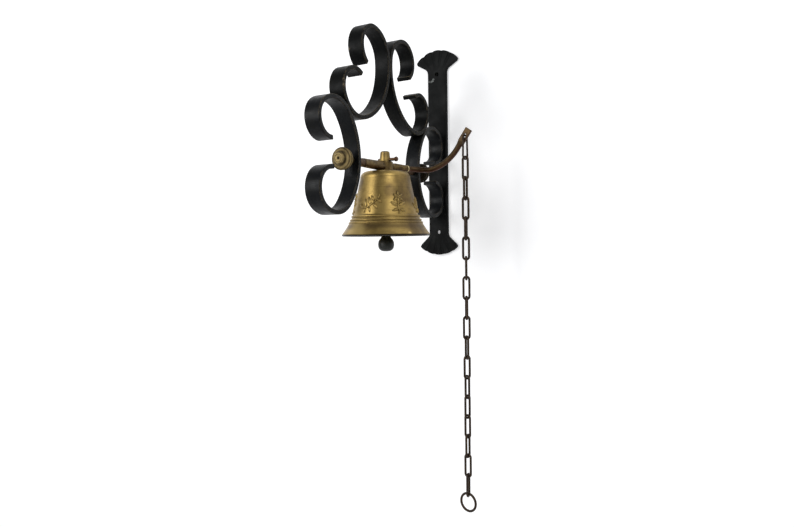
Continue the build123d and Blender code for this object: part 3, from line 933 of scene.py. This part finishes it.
@dataclass(frozen=True)
class Button:
    """A round button, as in the middle of a flower; its middle is (across, up)."""

    centre: Flat
    radius: float
    rise: float

    MIDDLE: ClassVar[int] = 3
    SINK: ClassVar[float] = 0.0002

    def rows(self) -> Grid:
        """Draw the button as a square grid that is drawn out to a circle.

        Returns:
            Rows of (across, up, rise) points.
        """
        steps = [i / self.MIDDLE - 1 for i in range(2 * self.MIDDLE + 1)]
        rows = []
        for x in steps:
            row = []
            for y in steps:
                flat = Vector((x * math.sqrt(1 - y * y / 2), y * math.sqrt(1 - x * x / 2)))
                point = Vector(self.centre) + flat * self.radius
                row.append((point.x, point.y, self.rise * (1 - flat.length_squared) - self.SINK))
            rows.append(row)
        return rows


Lump = Union[Leaf, Stem, Button]


class BellWall:
    """The outside of the bell, for wrapping flat drawings onto."""

    WRAP_SHARE: ClassVar[float] = 0.34

    def __init__(self) -> None:
        """Take the wall from the frame's bell."""
        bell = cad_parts["bell"]
        low, high = (Vector(corner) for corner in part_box("bell"))
        self.axis = (low + high) / 2
        self.reach = (high - low).x
        self.skin = BVHTree.FromPolygons(
            [vertex.co for vertex in bell.data.vertices],
            [tuple(face.vertices) for face in bell.data.polygons])

    def spot(self, heading: float, across: float, height: float, rise: float) -> Vector:
        """Return the point on the bell for a point of a flat drawing.

        Args:
            heading: Where the drawing's middle stands round the bell, in radians.
            across: Distance to the right of that middle, seen from outside.
            height: Height in the frame.
            rise: Distance out of the wall.

        Returns:
            The point in the frame.
        """
        turn = heading + across / (self.reach * self.WRAP_SHARE)
        out = Vector((math.cos(turn), math.sin(turn), 0.0))
        start = Vector((self.axis.x, self.axis.y, height)) + out * self.reach
        hit, normal, _, _ = self.skin.ray_cast(start, -out)
        return hit + normal * rise


class Motif(Enum):
    """What a relief shows."""

    LEAF_SPRAY = "leaf_spray"
    FLOWER_SPRIG = "flower_sprig"


@dataclass
class Relief:
    """Low cast ornament on the bell, drawn flat and wrapped onto the brass.

    Its heading runs in degrees from +X towards +Y, and its height is that of the drawing's middle.
    """

    name: str
    heading: float
    height: float
    wall: BellWall
    root: float = 0.0006

    def point(self, across: float, up: float, rise: float) -> Vector:
        """Return the point in the frame for a point of the drawing."""
        return self.wall.spot(math.radians(self.heading), across, self.height + up, rise)

    def lay(self, mesh: bmesh.types.BMesh, rows: Grid) -> None:
        """Add one closed lump, whose back reaches into the wall.

        Args:
            mesh: The relief's mesh so far.
            rows: The grid over the lump's top; its rim lies at or under the wall.
        """
        top = [[mesh.verts.new(self.point(*point)) for point in row] for row in rows]
        back = [[mesh.verts.new(self.point(across, up, -self.root)) for across, up, _ in row]
                for row in rows]
        tall, wide = len(rows), len(rows[0])
        for i in range(tall - 1):
            for j in range(wide - 1):
                mesh.faces.new((top[i][j], top[i][j + 1], top[i + 1][j + 1], top[i + 1][j]))
                mesh.faces.new((back[i][j], back[i + 1][j], back[i + 1][j + 1], back[i][j + 1]))
        rim = [(0, j) for j in range(wide)]
        rim += [(i, wide - 1) for i in range(1, tall)]
        rim += [(tall - 1, j) for j in range(wide - 2, -1, -1)]
        rim += [(i, 0) for i in range(tall - 2, 0, -1)]
        for (i, j), (k, m) in zip(rim, rim[1:] + rim[:1]):
            mesh.faces.new((top[k][m], top[i][j], back[i][j], back[k][m]))

    def build(self, lumps: Sequence[Lump], shop: Workshop) -> None:
        """Make the piece, which rides with the bell.

        Args:
            lumps: The drawing's raised shapes.
            shop: The workshop that holds the bell's brass.
        """
        drawing = bmesh.new()
        for lump in lumps:
            self.lay(drawing, lump.rows())
        bmesh.ops.recalc_face_normals(drawing, faces=drawing.faces)
        mesh = bpy.data.meshes.new(self.name)
        drawing.to_mesh(mesh)
        drawing.free()
        mesh.materials.append(shop.material(Stock.BELL_BRASS))
        for face in mesh.polygons:
            face.use_smooth = True
        piece = bpy.data.objects.new(self.name, mesh)
        bpy.context.scene.collection.objects.link(piece)
        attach(piece, "bell_rig")
        LOG.info("%s: %d faces", self.name, len(mesh.polygons))


@dataclass
class Ornaments:
    """A ring of generic reliefs round the bell: leaf sprays and flower sprigs by turns.

    Attributes:
        shop: The workshop that holds the bell's brass.
        headings: Where each relief stands round the bell, in degrees.
        height: Height of the sprays' middle in the frame.
        spray_leaf_shape: Width of a spray's leaf as a share of its length.
        sprig_leaf_shape: The same for a sprig's leaf.
        sprig_lift: How much higher a sprig's middle is.
        flower: The flower's middle in the sprig's drawing.
        petals: How many petals it has.
        petal: A petal's length and width.
        first_petal: The first petal's lean in degrees.
        button: Radius and rise of the flower's button.
    """

    shop: Workshop
    headings: tuple[float, ...] = (-88.0, -36.0, 26.0, 92.0, 152.0, -148.0)
    height: float = -0.0822
    spray_leaf_shape: float = 0.52
    sprig_leaf_shape: float = 0.46
    sprig_lift: float = 0.0022
    flower: Flat = (0.0005, 0.0048)
    petals: int = 6
    petal: Flat = (0.0076, 0.0052)
    first_petal: float = 30.0
    button: Flat = (0.0022, 0.0027)

    def leaf_spray(self) -> list[Lump]:
        """Draw a curved branch with leaves on both sides.

        Returns:
            The branch, then its leaves from foot to tip.
        """
        branch = Stem(((-0.0125, -0.0045), (-0.005, -0.0095), (0.004, 0.0005), (0.0115, 0.0065)))
        leaves = (
            ((-0.0105, -0.0052), 136, 0.0088), ((-0.0068, -0.0062), 262, 0.0056),
            ((-0.0055, -0.0052), 104, 0.0116), ((-0.0015, -0.0045), 286, 0.0072),
            ((0.0008, -0.0022), 112, 0.0112), ((0.0042, 0.0002), 306, 0.0088),
            ((0.0052, 0.0026), 124, 0.0082), ((0.0085, 0.0045), 330, 0.0072),
            ((0.0098, 0.0058), 60, 0.0062))
        return [branch, *(Leaf(foot, lean, length, length * self.spray_leaf_shape)
                          for foot, lean, length in leaves)]

    def flower_sprig(self) -> list[Lump]:
        """Draw a flower with leaves on its stem.

        Returns:
            The stem, the petals, the flower's button, then the leaves from top to bottom.
        """
        stem = Stem(((0.0015, -0.0125), (-0.0015, -0.008), (0.001, -0.003), self.flower))
        turn = 360 / self.petals
        petals = [Leaf(self.flower, self.first_petal + turn * n, *self.petal)
                  for n in range(self.petals)]
        leaves = (
            ((0.0, -0.0062), 152, 0.0108), ((0.0002, -0.0056), 26, 0.0106),
            ((0.0005, -0.0094), 198, 0.0088), ((0.0008, -0.0098), -16, 0.009),
            ((0.0012, -0.0114), 250, 0.0044))
        return [stem, *petals, Button(self.flower, *self.button),
                *(Leaf(foot, lean, length, length * self.sprig_leaf_shape)
                  for foot, lean, length in leaves)]

    def build(self) -> None:
        """Lay the ring of reliefs, one motif after the other."""
        wall = BellWall()
        drawings = {Motif.LEAF_SPRAY: (self.leaf_spray(), self.height),
                    Motif.FLOWER_SPRIG: (self.flower_sprig(), self.height + self.sprig_lift)}
        motifs = tuple(Motif)
        for n, heading in enumerate(self.headings):
            motif = motifs[n % len(motifs)]
            lumps, height = drawings[motif]
            Relief(f"{motif.value}_{n + 1}", heading, height, wall).build(lumps, self.shop)


@dataclass(frozen=True)
class Lamp:
    """A square soft lamp: where it hangs, its power in watts, its width and what it faces."""

    name: str
    place: Place
    power: float
    size: float
    target: Place = (0.0, -0.12, -0.06)

    def hang(self) -> None:
        """Hang the lamp."""
        light = bpy.data.lights.new(self.name, "AREA")
        light.energy = self.power
        light.size = self.size
        rig = bpy.data.objects.new(self.name, light)
        rig.location = self.place
        aim = Vector(self.target) - Vector(self.place)
        rig.rotation_euler = aim.to_track_quat("-Z", "Y").to_euler()
        bpy.context.scene.collection.objects.link(rig)


@dataclass(frozen=True)
class PhotoCamera:
    """The camera, where the photograph was taken from: angles in degrees, lens in millimetres."""

    place: Place = (0.4329, -0.8776, -0.1326)
    heading: float = 30.036
    pitch: float = -1.728
    roll: float = -0.732
    lens: float = 29.68
    sensor: float = 36.0

    def stand(self) -> None:
        """Stand the camera."""
        yaw, pitch, roll = (math.radians(angle) for angle in (self.heading, self.pitch, self.roll))
        level = Vector((math.cos(yaw), math.sin(yaw), 0.0))
        ahead = Vector((-math.sin(yaw) * math.cos(pitch), math.cos(yaw) * math.cos(pitch),
                        math.sin(pitch)))
        plumb = level.cross(ahead)
        right = level * math.cos(roll) + plumb * math.sin(roll)
        up = plumb * math.cos(roll) - level * math.sin(roll)
        lens = bpy.data.cameras.new("photo_camera")
        lens.lens = self.lens
        lens.sensor_width = self.sensor
        lens.sensor_fit = "HORIZONTAL"
        camera = bpy.data.objects.new("photo_camera", lens)
        turn = Matrix((right, up, -ahead)).transposed().to_4x4()
        camera.matrix_world = Matrix.Translation(self.place) @ turn
        bpy.context.scene.collection.objects.link(camera)
        bpy.context.scene.camera = camera


@dataclass
class Studio:
    """Wall, floor, lamps, sky and camera.

    Attributes:
        sheet_size: Width of the wall's and of the floor's sheet.
        wall_gap: Air between the plate's back and the wall.
        floor_level: Height of the floor in the frame.
        paint: Colour of the sheets.
        glow: Light that the sheets add for the camera, so that they look white.
        hole_height: Height of the dark spot that is painted on the wall behind the plate's upper
            screw hole.
        hole_radius: Its radius.
        hole_core: How much of that radius is fully dark.
        hole_shade: How dark it is.
        key: The lamp on the left.
        fill: The lamp on the right.
        sky: Strength of the even light.
        sky_colour: Its colour.
        camera: The camera.
    """

    sheet_size: float = 5.0
    wall_gap: float = 0.0004
    floor_level: float = -1.4
    paint: Colour = (0.86, 0.86, 0.87)
    glow: float = 0.36
    hole_height: float = 0.116
    hole_radius: float = 0.0034
    hole_core: float = 0.9
    hole_shade: Colour = shade(22, 22, 22)
    key: Lamp = Lamp("key_lamp", (-0.84, -1.84, 0.3), 24.0, 1.0)
    fill: Lamp = Lamp("fill_lamp", (1.42, -1.2, 1.15), 14.5, 0.9)
    sky: float = 0.32
    sky_colour: Colour = (0.96, 0.98, 1.0)
    camera: PhotoCamera = PhotoCamera()

    def whitewash(self, name: str) -> bpy.types.Material:
        """Mix the sheets' paint, which looks white, keeps shadows and is clear from behind.

        Args:
            name: The material's name.

        Returns:
            The material.
        """
        board = Board(name)
        # A dark spot is painted on the wall behind the plate's upper screw hole, and the glow is
        # left out there.
        dark_spot = Spot((0.0, CAD_BOX[1][1], self.hole_height), self.hole_radius)
        ground = board.node("ShaderNodeNewGeometry").outputs
        hole = board.near(dark_spot, self.hole_core, ground["Position"])
        ground_colour = board.mix(hole, self.paint, self.hole_shade)
        paint = board.node("ShaderNodeBsdfDiffuse", Color=ground_colour)
        light = board.mix(hole, WHITE, BLACK)
        glow = board.node("ShaderNodeEmission", Color=light, Strength=self.glow)
        lit = board.node("ShaderNodeAddShader")
        board.feed(lit.inputs[0], paint.outputs[0])
        board.feed(lit.inputs[1], glow.outputs[0])
        path = board.node("ShaderNodeLightPath").outputs
        seen = board.sums(Sum.LARGER, path["Is Camera Ray"], path["Is Glossy Ray"])
        seen = board.sums(Sum.LARGER, seen, path["Is Transmission Ray"])
        front = board.node("ShaderNodeMixShader", Fac=seen)
        board.feed(front.inputs[1], paint.outputs[0])
        board.feed(front.inputs[2], lit.outputs[0])
        clear = board.node("ShaderNodeBsdfTransparent")
        both = board.node("ShaderNodeMixShader", Fac=ground["Backfacing"])
        board.feed(both.inputs[1], front.outputs[0])
        board.feed(both.inputs[2], clear.outputs[0])
        return board.close(both)

    def backdrop(self, name: str, turn: Matrix, place: Vector) -> None:
        """Stand a white sheet that keeps shadows and can't be seen from behind.

        Args:
            name: The sheet's name.
            turn: Its rotation.
            place: Its middle.
        """
        half = self.sheet_size / 2
        corners = [(-half, -half, 0), (half, -half, 0), (half, half, 0), (-half, half, 0)]
        mesh = bpy.data.meshes.new(name)
        mesh.from_pydata(corners, [], [(0, 1, 2, 3)])
        mesh.materials.append(self.whitewash(name))
        sheet = bpy.data.objects.new(name, mesh)
        sheet.matrix_world = Matrix.Translation(place) @ turn
        bpy.context.scene.collection.objects.link(sheet)

    def set_sky(self) -> None:
        """Light the room evenly."""
        world = bpy.data.worlds.new("studio_sky")
        world.use_nodes = True
        soft = world.node_tree.nodes["Background"]
        soft.inputs["Color"].default_value = (*self.sky_colour, 1.0)
        soft.inputs["Strength"].default_value = self.sky
        bpy.context.scene.world = world

    def build(self) -> None:
        """Set the whole studio up."""
        upright = Matrix.Rotation(math.pi / 2, 4, "X")
        self.backdrop("wall", upright, Vector((0.0, CAD_BOX[1][1] + self.wall_gap, 0.0)))
        middle = Vector((0.0, -self.sheet_size / 2, self.floor_level))
        self.backdrop("floor", Matrix.Identity(4), middle)
        self.key.hang()
        self.fill.hang()
        self.set_sky()
        self.camera.stand()
        bpy.context.scene.view_settings.view_transform = "Standard"


def main() -> None:
    """Dress and build the doorbell, one sub-assembly after another."""
    logging.basicConfig(level=logging.INFO, format="%(name)s: %(message)s")
    shop = Workshop()
    Bracket(shop).dress()
    BellRig(shop).dress()
    PullChain(shop).dress()
    Ornaments(shop).build()
    Studio().build()


if __name__ == "__main__":
    main()
